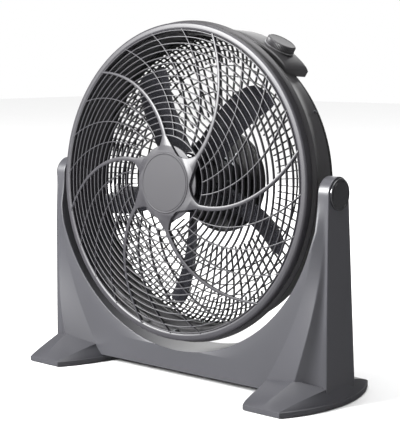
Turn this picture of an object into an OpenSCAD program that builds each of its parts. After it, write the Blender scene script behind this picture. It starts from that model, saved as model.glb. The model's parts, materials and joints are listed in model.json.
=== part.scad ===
// Floor box fan: a round fan head that tilts between two uprights of a moulded stand.
// The fan faces -Y, +X is to the viewer's right, +Z is up, the floor is Z = 0.

/* [Fan head] */
// Radius of the opening that the front grille fills
opening_r = 276; // [230:1:340]
// How far the drum's lip stands outside that opening
lip_w = 15; // [12:0.5:20]
// Wall thickness of the drum
drum_wall = 2.5; // [2:0.1:4]
// Depth of the drum's side wall behind its lip
drum_depth = 53; // [50:1:70]
// Lean of the head at rest, top backwards
rest_tilt = 3; // [0:0.5:8]

/* [Grilles] */
// Number of rings in the front grille
ring_count = 17; // [10:1:20]
// Width of a ring or thin rib
rib_w = 2.2; // [1.6:0.1:3]
// Depth of a ring or rib, front to back
rib_d = 5.5; // [4:0.1:8]
// Number of thick curved arms
arm_count = 6; // [4:1:8]
// Thin ribs between two arms
ribs_between = 3; // [1:1:4]
// Turn of an arm from the hub to the rim
arm_sweep = 45; // [20:1:60]
// How far the hub stands in front of the rim
dome_h = 31; // [20:1:45]
// Radius of the badge
badge_r = 55; // [45:1:62]
// How far the rear grille bulges behind the drum
bowl_d = 42; // [38:1:60]

/* [Impeller] */
// Number of blades
blade_count = 5; // [3:1:7]
// Clear gap from the blade tips to the drum
tip_gap = 38; // [20:1:60]
// Radius of the impeller's hub cup
cup_r = 55; // [50:1:66]
// Blade angle at the hub
root_pitch = 36; // [20:1:50]
// Blade angle at the tip
tip_pitch = 24; // [15:1:40]
// Blade chord at the hub
root_chord = 52; // [40:1:70]
// Blade chord at the tip
tip_chord = 62; // [40:1:110]

/* [Motor] */
// Radius of the motor's stator
stator_r = 40; // [32:0.5:44]
// Radius of the motor shaft
shaft_r = 4; // [3:0.25:6]
// Radius of the rear motor cover
cover_r = 66; // [60:1:80]

/* [Controls] */
// Place of the knob round the drum, from the top towards +X
knob_angle = 30; // [20:1:60]
// Radius of the speed knob
knob_r = 27; // [20:0.5:32]
// Height of the speed knob
knob_h = 12; // [8:0.5:18]
// Radius of the switch spindle
spindle_r = 3; // [2:0.25:4]

/* [Stand] */
// Gap between the drum's lip and the cut-out under it
head_gap = 15; // [12:1:40]
// Gap between the drum's lip and an upright
side_gap = 9; // [8:0.5:20]
// Height of the cut-out's lowest point above the floor
sill_z = 52; // [44:1:80]
// Height of the panel's lower edge above the floor
panel_z = 14; // [8:1:20]
// Depth of the stand's box section at the floor
stand_depth = 96; // [80:1:120]
// Wall thickness of the stand
stand_wall = 3; // [2:0.25:5]
// Thickness of an upright at the pivot
upright_w = 22; // [18:1:30]
// Radius of an upright's rounded top
upright_r = 30; // [28:1:36]
// Radius of the pivot bolts
pivot_r = 5; // [4:0.25:6]

/* [Feet] */
// Length of a foot, front to back
foot_l = 267; // [230:1:320]
// Width of a foot's straight ends
foot_end_w = 76; // [60:1:90]
// Width of a foot in the middle
foot_w = 152; // [150:1:180]
// Height of a foot's upright rim
foot_rim = 10; // [6:0.5:16]
// Height of the top of a foot
foot_h = 48; // [40:1:60]
// How far the rubber pads stand out under a foot
pad_h = 1.5; // [1:0.25:3]

/* [Hidden] */
$fn = 96;

// Clearances
fit = 0.05; // running fit, radial
seat = 0.1; // between pieces that are clamped together
gap = 1; // between pieces that move past each other

// Head, in its own frame: the fan axis is Y, the tilt axis is X, the origin is where they cross
lip_r = opening_r + lip_w;
grille_y = -42; // front edge of the grille's rim
lip_y = -24; // front of the drum's lip
lip_bevel = 6; // bevel round the lip's front
rim_r = lip_r - lip_bevel + 1; // outside of the grille's rim
wall_y = 1; // where the side wall's depth is measured from
drum_end = wall_y + drum_depth;
wall_r = opening_r; // outside of the side wall there, if it went straight on
wall_taper = 7; // how much the side wall narrows to the back
rear_r = wall_r - wall_taper; // outside of the side wall at the back
neck_y = wall_y + 19; // where the lip's flank meets the side wall
neck_r = wall_r - wall_taper * (neck_y - wall_y) / drum_depth;
hub_r = badge_r + 13;
first_ring = hub_r + 17;
ring_pitch = (opening_r - first_ring) / (ring_count - 0.6);
tip_r = wall_r - 10 - tip_gap;
plate_y = drum_end + bowl_d; // front of the plate that carries the motor
plate_t = 4;
plate_r = 92;
cover_d = 25;
cup_y = -22;
cup_d = 52;
bearing_r = shaft_r * 2.2;
bell_r = stator_r + 6;
front_bell_y = cup_y + cup_d + 4;
stator_y = front_bell_y + 13;
stator_d = plate_y - 12 - stator_y;
knob_y = 62;
housing_r = wall_r + 8;
housing_y = [neck_y, drum_end + 38];
housing_a = [8, 43];

// Stand
pivot_y = -4;
cut_r = lip_r + head_gap;
pivot_z = cut_r + sill_z;
inner_x = lip_r + side_gap; // inside face of an upright
top_x = inner_x + upright_w; // outside face of an upright at the pivot
side_flare = 4; // how much further out an upright stands at the floor
panel_y = -46;
corner_y = -37; // front corner of an upright
stand_back = panel_y + stand_depth;
back_lean = 24; // how far the back of an upright leans in at the pivot
wing_top = pivot_z - 30;
foot_x = top_x + side_flare - 65.5;
washer_r = 11;

function out_x(z) = top_x + side_flare * (1 - z / pivot_z);
function back_y(z) = stand_back - back_lean * z / pivot_z;
function smooth(t) = let(s = max(0, min(1, t))) s * s * (3 - 2 * s);
// The wing's two creases, as parabolas over the height
function crease_x(z) = inner_x + 1 - 95 * pow((wing_top - z) / (wing_top - 33), 2);
function ridge_x(z) = top_x - 8 - 37 * pow(max(0, wing_top - 38 - z) / (wing_top - 84), 2);
function ridge_y(z) = corner_y - 25 * smooth((wing_top - 38 - z) / (wing_top - 84));
function panel_front(z) = panel_y + (corner_y - panel_y) * smooth((z - wing_top + 70) / 70);
function dome_y(r) = grille_y - dome_h * (1 - pow(r / opening_r, 2));
function bowl_y(r) = drum_end + 5 + (bowl_d - 5) * (1 - pow(max(0, r - plate_r) / (rear_r - 3 - plate_r), 2));

// Placing
module head() translate([0, pivot_y, pivot_z]) rotate([-rest_tilt, 0, 0]) children();
module turned(n = 96) rotate([-90, 0, 0]) rotate_extrude($fn = n) children();
module facing(y, d) translate([0, y + d, 0]) rotate([90, 0, 0]) linear_extrude(d) children();
module along_y(y, d, r) translate([0, y, 0]) rotate([-90, 0, 0]) cylinder(r = r, h = d);
module along_x(x, d, r) translate([x, 0, 0]) rotate([0, 90, 0]) cylinder(r = r, h = d);
module round_y(n, r, start = 0) for (k = [0:n - 1])
  rotate([0, start + k * 360 / n, 0]) translate([0, 0, r]) children();
module at_knob() head() rotate([0, knob_angle, 0]) translate([0, knob_y, 0]) children();
module both_sides() { children(); mirror([1, 0, 0]) children(); }
module pan_screw(y, d, r, head_r) {
  along_y(y, 2.4, head_r);
  along_y(y + 2.2, d, r);
}

// What the head's cut-out takes away, seen from the front, drawn i outside its real edge
module cut_outline(i) intersection() {
  translate([-inner_x - i, 0]) square([2 * (inner_x + i), 2 * pivot_z]);
  union() {
    translate([0, pivot_z]) circle(r = cut_r + i, $fn = 180);
    translate([-top_x, pivot_z]) square([2 * top_x, pivot_z]);
  }
}

// Outline of the stand seen from the front, drawn i inside its real edge
module stand_outline(i) difference() {
  polygon([[-out_x(0) + i, panel_z + i], [out_x(0) - i, panel_z + i], [top_x - i, pivot_z],
    [-top_x + i, pivot_z]]);
  cut_outline(i);
}

// The stand seen from the side, i inside its real faces, its back moved out by back_out
panel_break = wing_top - 70;
module side_profile(i, back_out) union() {
  translate([pivot_y, pivot_z]) circle(r = upright_r - i, $fn = 96);
  polygon([[panel_y + i, panel_z + i], [back_y(panel_z) - i + back_out, panel_z + i],
    [back_y(pivot_z) - i + back_out, pivot_z], [pivot_y - upright_r + i, pivot_z],
    [panel_y + i, panel_break]]);
}

// Where the front turns back to its outer corners
corner_room = 50; // more than an upright is wide
module corner_cut(i) for (side = [0, 1]) mirror([side, 0, 0]) translate([inner_x + 1, panel_y, 0])
  rotate([0, 0, atan2(corner_y - panel_y, out_x(0) - inner_x - 1)]) translate([-corner_room, -corner_room, 0])
    linear_extrude(pivot_z + upright_r + 10) square([3 * corner_room, corner_room + i]);

// The stand's block, i inside its real faces
module stand_block(i, back_out = 0) difference() {
  intersection() {
    facing(-stand_depth, 3 * stand_depth) stand_outline(i);
    rotate([90, 0, 90]) translate([0, 0, -top_x - 20]) linear_extrude(2 * top_x + 40)
      side_profile(i, back_out);
  }
  corner_cut(i);
}

// The ridge that stands out from the front toward each foot, i inside its real faces
ridge_steps = 4;
ridge_root = 6;
ridge_top = wing_top - 78;
module ridge(i) {
  levels = [for (k = [0:ridge_steps]) panel_z + i + 0.4 + (ridge_top - panel_z) * k / ridge_steps];
  points = [for (z = levels) each [[crease_x(max(z, 33)), panel_y + ridge_root, z],
    [ridge_x(z), ridge_y(z) + i, z], [out_x(z) - 1.5, corner_y + ridge_root, z]]];
  sides = [for (k = [0:ridge_steps - 1], j = [0:2]) let(a = k * 3 + j, b = k * 3 + (j + 1) % 3)
    each [[a, a + 3, b + 3], [a, b + 3, b]]];
  last = 3 * ridge_steps;
  polyhedron(points = points, faces = concat(sides, [[0, 1, 2], [last + 2, last + 1, last]]));
}

module back_slab(t) rotate([90, 0, 90]) translate([0, 0, -top_x - 20])
  linear_extrude(2 * top_x + 40) polygon([[back_y(0) - t, 0], [back_y(0), 0],
    [back_y(pivot_z), pivot_z], [back_y(pivot_z) - t, pivot_z]]);

cover_t = 3;
cap_neck_r = 21;
cap_r = upright_r - 3;
foot_screw_r = 2;
foot_screw_y = [-26, 30];
module at_pivots() both_sides() translate([0, pivot_y, pivot_z]) children();
module foot_screw_places() both_sides() for (y = foot_screw_y) translate([foot_x, y, 0]) children();
cover_screw_at = [[-255, 60], [255, 60], [-60, 33], [60, 33], [-302, 240], [302, 240]];
pillar_r = 5;

function front_at(x, z) = let(c = crease_x(max(z, 33)), f = panel_front(z))
  abs(x) < c ? f : f + (ridge_y(z) - f) * min(1, (abs(x) - c) / (ridge_x(z) - c));

cover_top = wing_top - 12;
module stand_shell() color("dimgray") difference() {
  union() {
    difference() {
      union() {
        stand_block(0);
        for (side = [0, 1]) mirror([side, 0, 0]) ridge(0);
      }
      intersection() {
        stand_block(stand_wall, stand_wall + 5);
        translate([-top_x - 10, -stand_depth, 0]) cube([2 * top_x + 20, 3 * stand_depth, cover_top]);
      }
    }
    // Screw pillars for the rear cover
    for (p = cover_screw_at) let(y = front_at(p[0], p[1]) + stand_wall / 2)
      translate([p[0], 0, p[1]]) along_y(y, back_y(p[1]) - cover_t - 1.2 - y, pillar_r);
    // Bosses for the foot screws
    foot_screw_places() translate([0, 0, panel_z + 1]) cylinder(r = pillar_r, h = 15);
  }
  for (p = cover_screw_at) translate([p[0], 0, p[1]]) along_y(back_y(p[1]) - 18, 40, 1.55);
  at_pivots() along_x(inner_x - 1, stand_wall + 2, pivot_r + 3);
  at_pivots() along_x(inner_x + stand_wall, upright_w, cap_neck_r + seat);
  foot_screw_places() translate([0, 0, panel_z - 1]) cylinder(r = foot_screw_r + fit, h = 15);
}
module stand_rear_cover() color("dimgray") difference() {
  intersection() {
    back_slab(cover_t);
    facing(-stand_depth, 3 * stand_depth) stand_outline(stand_wall + 0.3);
    translate([-top_x, -stand_depth, 0]) cube([2 * top_x, 3 * stand_depth, cover_top - 0.4]);
  }
  for (p = cover_screw_at) translate([p[0], 0, p[1]]) along_y(back_y(p[1]) - 8, 16, 1.8);
}
module cover_screws() color("silver") for (p = cover_screw_at)
  translate([p[0], 0, p[1]]) mirror([0, 1, 0]) pan_screw(-back_y(p[1]) - 3, 14, 1.5, 3);

// Feet. Their outline is two long arcs cut off square at the front and back
foot_bulge = (foot_w - foot_end_w) / 2;
foot_arc = (foot_l * foot_l / 4 + foot_bulge * foot_bulge) / 2 / foot_bulge;
foot_wall = 3;
pad_r = 9;
pad_t = 2 + pad_h;
pad_at = [for (x = [-22, 22], y = [-1, 1]) [x, y * (foot_l / 2 - 21)]];
module foot_outline(i) intersection() {
  translate([-foot_arc + foot_w / 2, 0]) circle(r = foot_arc - i, $fn = 180);
  translate([foot_arc - foot_w / 2, 0]) circle(r = foot_arc - i, $fn = 180);
  square([foot_w, foot_l - 2 * i], center = true);
}
module foot_dome(i) hull() {
  translate([0, 0, foot_rim - 1]) linear_extrude(1) foot_outline(i);
  translate([-10, -60, 0]) cube([30, 120, foot_h - 3 - i]);
  translate([-30, -46, 0]) cube([90, 96, foot_h - 10 - i]);
}
module foot() translate([foot_x, 0, 0]) difference() {
  union() {
    difference() {
      union() {
        translate([0, 0, pad_h]) linear_extrude(foot_rim - pad_h) foot_outline(0);
        foot_dome(0);
      }
      translate([0, 0, -1]) linear_extrude(foot_rim + 1) foot_outline(foot_wall);
      translate([0, 0, -foot_wall / 2]) foot_dome(foot_wall);
    }
    // Floor under the stand, and bosses for the pads
    translate([0, 0, panel_z - 6]) linear_extrude(8) intersection() {
      foot_outline(1);
      square([foot_w, 124], center = true);
    }
    for (p = pad_at) translate([p[0], p[1], pad_h]) cylinder(r = pad_r + 3, h = 13);
  }
  translate([-foot_x, 0, 0]) {
    stand_block(-seat);
    ridge(-seat);
  }
  for (y = foot_screw_y) translate([0, y, 0]) cylinder(r = foot_screw_r + 0.2, h = panel_z + 1);
  for (p = pad_at) translate([p[0], p[1], -1]) cylinder(r = pad_r + seat, h = pad_t + 1 + seat);
}
module left_foot() color("dimgray") mirror([1, 0, 0]) foot();
module right_foot() color("dimgray") foot();
module foot_pads() color("black") both_sides() for (p = pad_at)
  translate([foot_x + p[0], p[1], 0]) cylinder(r = pad_r, h = pad_t);
module foot_screws() color("silver") foot_screw_places() {
  translate([0, 0, panel_z - 8.6]) cylinder(r = 4, h = 2.5);
  translate([0, 0, panel_z - 6.2]) cylinder(r = foot_screw_r, h = 20);
}

// Tilt pivots, one in each upright: bolt through the drum, bush, friction disc, nut and cap
boss_x = wall_r - drum_wall - 2.3; // inner face of the drum's boss
disc_t = 2;
bush_w = stand_wall + 6;
nut_x = inner_x + bush_w + 0.3;
module pivot_bush() translate([0, pivot_y, pivot_z]) difference() {
  union() {
    along_x(inner_x, bush_w, pivot_r + 3 - fit);
    along_x(inner_x + stand_wall + seat, bush_w - stand_wall - seat, pivot_r + 7);
  }
  along_x(inner_x - 1, bush_w + 2, pivot_r + fit);
}
module left_pivot_bush() color("white") mirror([1, 0, 0]) pivot_bush();
module right_pivot_bush() color("white") pivot_bush();
cap_x = out_x(pivot_z - cap_r) + seat;
module pivot_cap() translate([0, pivot_y, pivot_z]) {
  along_x(cap_x, 2.4, cap_r);
  along_x(cap_x + 2.3, 1.3, cap_r - 3);
  difference() {
    along_x(top_x - stand_wall - 1, cap_x - top_x + stand_wall + 1.5, cap_neck_r);
    along_x(top_x - stand_wall - 2, cap_x - top_x + stand_wall + 2, cap_neck_r - 2);
  }
}
module left_pivot_cap() color("black") mirror([1, 0, 0]) pivot_cap();
module right_pivot_cap() color("black") pivot_cap();
module friction_discs() color("tan") at_pivots() difference() {
  along_x(inner_x - seat - disc_t, disc_t, pivot_r + 9);
  along_x(inner_x - 5, 10, pivot_r + 0.5);
}
module pivot_bolts() color("silver") at_pivots() {
  along_x(boss_x - seat - 4.5, 4.5, pivot_r + 4);
  along_x(boss_x - 1, nut_x + 6.5 - boss_x + 1, pivot_r);
}
module pivot_nuts() color("silver") at_pivots() {
  difference() {
    along_x(nut_x, 1, washer_r);
    along_x(nut_x - 1, 3, pivot_r + 0.02);
  }
  difference() {
    translate([nut_x + 1.05, 0, 0]) rotate([0, 90, 0]) cylinder(r = pivot_r * 1.8, h = 4.5, $fn = 6);
    along_x(nut_x, 8, pivot_r + 0.02);
  }
}

// Drum: a bevelled lip whose flank runs back into the side wall, which narrows towards the rear
grille_screw_r = opening_r - 6;
module drum() color("dimgray") head() difference() {
  union() {
    turned(180) polygon([[opening_r - 11, lip_y], [lip_r - lip_bevel, lip_y], [lip_r, lip_y + lip_bevel],
      [neck_r, neck_y], [rear_r, drum_end], [rear_r - drum_wall, drum_end],
      [neck_r - drum_wall, neck_y], [lip_r - drum_wall - 1, lip_y + lip_bevel + 1],
      [lip_r - lip_bevel - 1, lip_y + drum_wall], [opening_r - 11, lip_y + drum_wall]]);
    both_sides() along_x(boss_x, inner_x - disc_t - 2.5 * seat - boss_x, pivot_r + 10);
  }
  both_sides() along_x(wall_r - 12, 40, pivot_r + 0.02);
  round_y(6, grille_screw_r) along_y(lip_y - 1, 6, 1.7);
  for (a = rear_screw_a) rotate([0, a, 0]) translate([0, drum_end - 6, 0]) cylinder(r = 1.7, h = lip_r);
  for (a = housing_screw_a) rotate([0, a, 0]) translate([0, housing_screw_y, 0]) cylinder(r = 1.7, h = lip_r);
}

// Front grille: the pattern seen from the front, cut from a shallow dome
function arm_w(t) = 4 + 5 * (1 - t) + 20 * pow(max(0, 1 - 4 * t), 2);
function band(start, r0, w0) = let(n = 8, steps = [for (k = [0:n]) let(t = k / n,
    r = r0 + (opening_r - 1.5 - r0) * t, a = 90 + start + arm_sweep * t,
    w = (w0 == 0 ? arm_w(t) : w0) * 90 / PI / r) [r, a, w]])
  concat([for (q = steps) q[0] * [cos(q[1] - q[2]), sin(q[1] - q[2])]],
    [for (k = [n:-1:0]) let(q = steps[k]) q[0] * [cos(q[1] + q[2]), sin(q[1] + q[2])]]);
module grille_pattern() {
  circle(r = hub_r);
  for (k = [0:ring_count - 1]) difference() {
    circle(r = first_ring + k * ring_pitch + rib_w / 2);
    circle(r = first_ring + k * ring_pitch - rib_w / 2);
  }
  for (k = [0:arm_count - 1]) {
    polygon(band(k * 360 / arm_count, hub_r - 4, 0));
    for (j = [1:ribs_between])
      polygon(band((k + j / (ribs_between + 1)) * 360 / arm_count, first_ring, rib_w));
  }
}
dome_steps = [for (k = [0:10]) opening_r * k / 10];
module front_grille() color("dimgray") head() difference() {
  union() {
    intersection() {
      turned(180) polygon(concat([for (r = dome_steps) [r, dome_y(r)]],
        [for (k = [10:-1:0]) [dome_steps[k], dome_y(dome_steps[k]) + rib_d]]));
      facing(grille_y - dome_h - 5, dome_h + 20) grille_pattern();
    }
    // The rim is a channel, open at the back, that seats on the drum's lip
    turned(180) polygon([[opening_r - 3, grille_y], [rim_r - 1.5, grille_y], [rim_r, grille_y + 1.5],
      [rim_r - 1, lip_y - seat], [rim_r - 4, lip_y - seat], [rim_r - 3.5, grille_y + 3.5],
      [opening_r + 1, grille_y + 3.5], [opening_r + 1, lip_y - seat], [opening_r - 3, lip_y - seat]]);
    round_y(6, grille_screw_r) along_y(grille_y + 3, lip_y - seat - grille_y - 3, 4.5);
  }
  along_y(dome_y(0) - 3, 5, badge_r + seat);
  round_y(6, grille_screw_r) along_y(lip_y - 14, 20, 1.55);
}
module hub_badge() color("gray") head() turned(120) polygon([[0, dome_y(0) - 1], [badge_r - 4, dome_y(0) - 0.8],
  [badge_r - 0.5, dome_y(0)], [badge_r, dome_y(0) + 1.9], [0, dome_y(0) + 1.9]]);
module grille_screws() color("silver") head() round_y(6, grille_screw_r) mirror([0, 1, 0])
  pan_screw(-lip_y - drum_wall - 2.5, 12, 1.5, 3.2);

// Rear grille: a bowl of ribs and rings round the plate that carries the motor
rear_screw_a = [0, 60, 120, 180, 240, 300];
rear_rings = 9;
rear_ribs = 36;
flange_r = rear_r - drum_wall - 0.2;
module rear_pattern() {
  difference() { circle(r = plate_r); circle(r = 12); }
  for (k = [1:rear_rings]) let(r = plate_r + k * (flange_r - plate_r) / (rear_rings + 0.6)) difference() {
    circle(r = r + 1.25);
    circle(r = r - 1.25);
  }
  for (k = [0:rear_ribs - 1]) rotate(k * 360 / rear_ribs) translate([plate_r - 2, -1.25])
    square([flange_r - plate_r, 2.5]);
}
bowl_steps = [for (k = [0:8]) plate_r + (flange_r - plate_r) * k / 8];
module rear_grille() color("black") head() difference() {
  union() {
    intersection() {
      turned(180) polygon(concat([[0, plate_y]], [for (r = bowl_steps) [r, bowl_y(r)]],
        [for (k = [8:-1:0]) [bowl_steps[k], bowl_y(bowl_steps[k]) + plate_t]], [[0, plate_y + plate_t]]));
      facing(drum_end, bowl_d + 12) rear_pattern();
    }
    turned(180) polygon([[flange_r - 2.5, drum_end - 12], [flange_r, drum_end - 12],
      [flange_r, drum_end + seat], [rear_r, drum_end + seat], [rear_r, drum_end + 5 + plate_t], [flange_r - 2.5, drum_end + 5 + plate_t]]);
    for (a = rear_screw_a) rotate([0, a, 0]) translate([0, drum_end - 6, flange_r - 6])
      cylinder(r = 4, h = 5);
  }
  for (a = rear_screw_a) rotate([0, a, 0]) translate([0, drum_end - 6, flange_r - 8]) cylinder(r = 1.55, h = 20);
  round_y(4, mount_screw_r, 45) along_y(plate_y - 1, plate_t + 2, 2.2);
  round_y(3, cover_screw_r, 30) along_y(plate_y - 1, plate_t + 2, 1.55);
}
module rear_grille_screws() color("silver") head() for (a = rear_screw_a) rotate([0, a, 0])
  translate([0, drum_end - 6, 0]) {
    translate([0, 0, rear_r + 1.1]) cylinder(r = 3, h = 2);
    translate([0, 0, flange_r - 5.5]) cylinder(r = 1.5, h = rear_r + 1.3 - flange_r + 5.5);
  }

// Motor
mount_screw_r = 30;
cover_screw_r = cover_r - 7;
bolt_circle = stator_r + 3.5;
bearing_d = 8;
bell_t = 2.5;
rear_bell_y = stator_y + stator_d;
module bell(y0, y1) turned() polygon([[shaft_r + 0.6, y0], [bell_r, y0], [bell_r, y1], [bell_r - bell_t, y1],
  [bell_r - bell_t, y0 + sign(y1 - y0) * bell_t], [bearing_r + 3, y0 + sign(y1 - y0) * bell_t],
  [bearing_r + 3, y0 + sign(y1 - y0) * (bearing_d + 1)], [bearing_r + fit, y0 + sign(y1 - y0) * (bearing_d + 1)],
  [bearing_r + fit, y0 + sign(y1 - y0) * 1], [shaft_r + 0.6, y0 + sign(y1 - y0) * 1]]);
module motor_front_bell() color("silver") head() difference() {
  union() {
    bell(front_bell_y, stator_y - seat);
    round_y(4, bolt_circle) along_y(front_bell_y, stator_y - seat - front_bell_y, 4);
  }
  round_y(4, bolt_circle) along_y(front_bell_y - 1, 30, 1.8);
}
module motor_rear_bell() color("silver") head() difference() {
  union() {
    bell(plate_y - seat, rear_bell_y + seat);
    round_y(4, bolt_circle) along_y(rear_bell_y + seat, plate_y - 2 * seat - rear_bell_y, 4);
    round_y(4, mount_screw_r, 45) along_y(plate_y - seat - 7, 7, 4);
  }
  round_y(4, bolt_circle) along_y(rear_bell_y - 1, 30, 1.55);
  round_y(4, mount_screw_r, 45) along_y(plate_y - 9, 12, 1.75);
}
module bearing(y) head() difference() {
  along_y(y, bearing_d, bearing_r);
  along_y(y - 1, bearing_d + 2, shaft_r + fit);
}
module front_bearing() color("goldenrod") bearing(front_bell_y + 1);
module rear_bearing() color("goldenrod") bearing(plate_y - seat - 1 - bearing_d);
module stator_core() color("gray") head() difference() {
  union() {
    along_y(stator_y, stator_d, stator_r);
    round_y(4, bolt_circle) along_y(stator_y, stator_d, 4);
  }
  along_y(stator_y - 1, stator_d + 2, stator_r * 0.55);
  round_y(4, bolt_circle) along_y(stator_y - 1, stator_d + 2, 1.8);
}
module coil_ring(y, d) difference() {
  along_y(y, d, stator_r - 4);
  along_y(y - 1, d + 2, stator_r * 0.55 + 2);
}
module stator_windings() color("brown") head() {
  coil_ring(stator_y - 0.05 - 3, 3);
  coil_ring(rear_bell_y + 0.05, 1.5);
}
module motor_screws() color("silver") head() round_y(4, bolt_circle)
  pan_screw(front_bell_y - 2.5, plate_y - 3 - front_bell_y, 1.5, 3);
module motor_mount_screws() color("silver") head() round_y(4, mount_screw_r, 45) mirror([0, 1, 0])
  pan_screw(-plate_y - plate_t - 2.5, 10, 1.7, 3.4);
module rotor_core() color("gray") head() difference() {
  along_y(stator_y + 1, stator_d - 2, stator_r * 0.55 - 0.4);
  along_y(stator_y, stator_d + 2, shaft_r + 0.01);
}
module motor_shaft() color("silver") head() along_y(cup_y - 7, plate_y - cup_y + 4, shaft_r);

// Rear cover with the capacitor and the cord's way in
grommet_r = 3.6;
grommet_y = plate_y + plate_t + 11;
module motor_cover() color("black") head() difference() {
  turned(120) polygon([[0, plate_y + plate_t + cover_d], [cover_r - 8, plate_y + plate_t + cover_d],
    [cover_r, plate_y + plate_t + cover_d - 8], [cover_r, plate_y + plate_t + seat],
    [cover_r - 2, plate_y + plate_t + seat], [cover_r - 2, plate_y + plate_t + cover_d - 9],
    [cover_r - 9, plate_y + plate_t + cover_d - 2], [0, plate_y + plate_t + cover_d - 2]]);
  translate([0, grommet_y, 0]) mirror([0, 0, 1]) cylinder(r = 6 + fit, h = cover_r + 5);
}
module cover_posts() head() round_y(3, cover_screw_r, 30) children();
module motor_cover_screws() color("silver") cover_posts() {
  pan_screw(plate_y - 2.6, plate_t + 8, 1.5, 2.8);
}
module run_capacitor() color("white") head()
  translate([-16, plate_y + plate_t + seat, 12]) cube([32, 18, 26]);
module cord_grommet() color("black") head() translate([0, grommet_y, 0]) mirror([0, 0, 1]) difference() {
  union() {
    translate([0, 0, cover_r - 6]) cylinder(r = 6, h = 9);
    translate([0, 0, cover_r + seat]) cylinder(r = 8.5, h = 3 - seat);
  }
  translate([0, 0, cover_r - 8]) cylinder(r = grommet_r, h = 16);
}

// Speed control on the drum's shoulder
housing_screw_a = [13, 38];
housing_screw_y = neck_y + 4;
switch_h = 9.5;
module housing_wedge(i) rotate([-90, 0, 0]) rotate([0, 0, housing_a[0] - 90 + i / 5])
  rotate_extrude(angle = housing_a[1] - housing_a[0] - 2 * i / 5, $fn = 180) polygon([
    [neck_r + seat + (i > 0 ? -5 : 0), housing_y[0] + i],
    [housing_r - i, housing_y[0] + i], [housing_r - i, housing_y[1] - i],
    [rear_r + 1 + (i > 0 ? -5 : 0), housing_y[1] - i], [rear_r + 1 + (i > 0 ? -5 : 0), drum_end]]);
module control_housing() color("dimgray") difference() {
  union() {
    head() difference() {
      housing_wedge(0);
      housing_wedge(2.5);
    }
    head() intersection() {
      housing_wedge(0);
      for (a = housing_screw_a) rotate([0, a, 0]) translate([0, housing_screw_y, rear_r]) cylinder(r = 4, h = 20);
    }
    at_knob() difference() {
      translate([0, 0, housing_r - 3]) cylinder(r = knob_r + 2, h = 3.5);
      cylinder(r = lip_r, h = 0.01);
    }
  }
  at_knob() cylinder(r = spindle_r + 3, h = housing_r + 10);
  head() for (a = housing_screw_a) rotate([0, a, 0]) translate([0, housing_screw_y, rear_r]) cylinder(r = 1.55, h = 12);
}
module housing_screws() color("silver") head() for (a = housing_screw_a) rotate([0, a, 0])
  translate([0, housing_screw_y, 0]) {
    translate([0, 0, rear_r - 2.8]) cylinder(r = 3, h = 2);
    translate([0, 0, rear_r - 1]) cylinder(r = 1.5, h = 10);
  }
module rotary_switch() color("ivory") at_knob() difference() {
  translate([-15, -13, housing_r - 3.2 - switch_h]) cube([30, 26, switch_h]);
  translate([0, 0, housing_r - 1.2 - switch_h]) cylinder(r = spindle_r + fit, h = switch_h);
}
module dial_ring() color("lightgray") at_knob() difference() {
  translate([0, 0, housing_r + 0.6]) cylinder(r = knob_r + 1.8, h = 0.5);
  cylinder(r = knob_r - 3, h = housing_r + 10);
}
knob_z = housing_r + 1.6;
module speed_knob() color("dimgray") at_knob() difference() {
  union() {
    translate([0, 0, knob_z]) cylinder(r = knob_r, h = knob_h - 2);
    translate([0, 0, knob_z]) cylinder(r = knob_r - 2, h = knob_h);
  }
  for (k = [0:23]) rotate([0, 0, k * 15]) translate([knob_r + 0.6, 0, knob_z - 1]) cylinder(r = 1.4, h = knob_h + 2);
  translate([0, 0, knob_z - 1]) cylinder(r = spindle_r + 0.02, h = knob_h - 2);
}
module switch_spindle() color("silver") at_knob() translate([0, 0, housing_r - 1 - switch_h])
  cylinder(r = spindle_r, h = knob_z + knob_h - 3.2 - housing_r + 1 + switch_h);

// Impeller: a hub cup with blades swept round it, each a stack of thin curved sections
blade_y = cup_y + cup_d / 2 + 3;
blade_t = 2.2;
blade_start = 34; // place of the first blade, from the top towards +X
blade_sweep = 10; // turn of a blade from hub to tip
blade_rows = 7;
blade_cols = 6;
function blade_point(t, c, side) = let(r = cup_r - 1 + (tip_r - cup_r + 1) * t,
    pitch = root_pitch + (tip_pitch - root_pitch) * t,
    chord = root_chord + (tip_chord - root_chord) * sqrt(t),
    along = (c - 0.5) * chord, camber = 0.07 * chord * (1 - 4 * (c - 0.5) * (c - 0.5)),
    thick = side * blade_t / 2 * (0.35 + 0.65 * sqrt(max(0, 1 - 4 * (c - 0.5) * (c - 0.5)))),
    turn = (along * cos(pitch) - (camber + thick) * sin(pitch)) * 180 / PI / r + blade_sweep * t * t,
    y = blade_y + along * sin(pitch) + (camber + thick) * cos(pitch))
  [r * sin(turn), y, r * cos(turn)];
module blade() {
  cols = [for (j = [0:blade_cols]) j / blade_cols];
  loop = blade_cols * 2 + 2;
  points = [for (k = [0:blade_rows]) let(t = k / blade_rows) each concat(
    [for (c = cols) blade_point(t, c, 1)], [for (j = [blade_cols:-1:0]) blade_point(t, cols[j], -1)])];
  skins = [for (k = [0:blade_rows - 1], j = [0:loop - 1])
    let(a = k * loop + j, b = k * loop + (j + 1) % loop) each [[a, b, b + loop], [a, b + loop, a + loop]]];
  ends = [for (j = [0:blade_cols - 1], e = [0, blade_rows * loop]) each
    let(a = e + j, b = e + j + 1, c = e + loop - 2 - j, d = e + loop - 1 - j)
    e == 0 ? [[a, c, b], [a, d, c]] : [[a, b, c], [a, c, d]]];
  polyhedron(points = points, faces = concat(skins, ends), convexity = 6);
}
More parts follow.
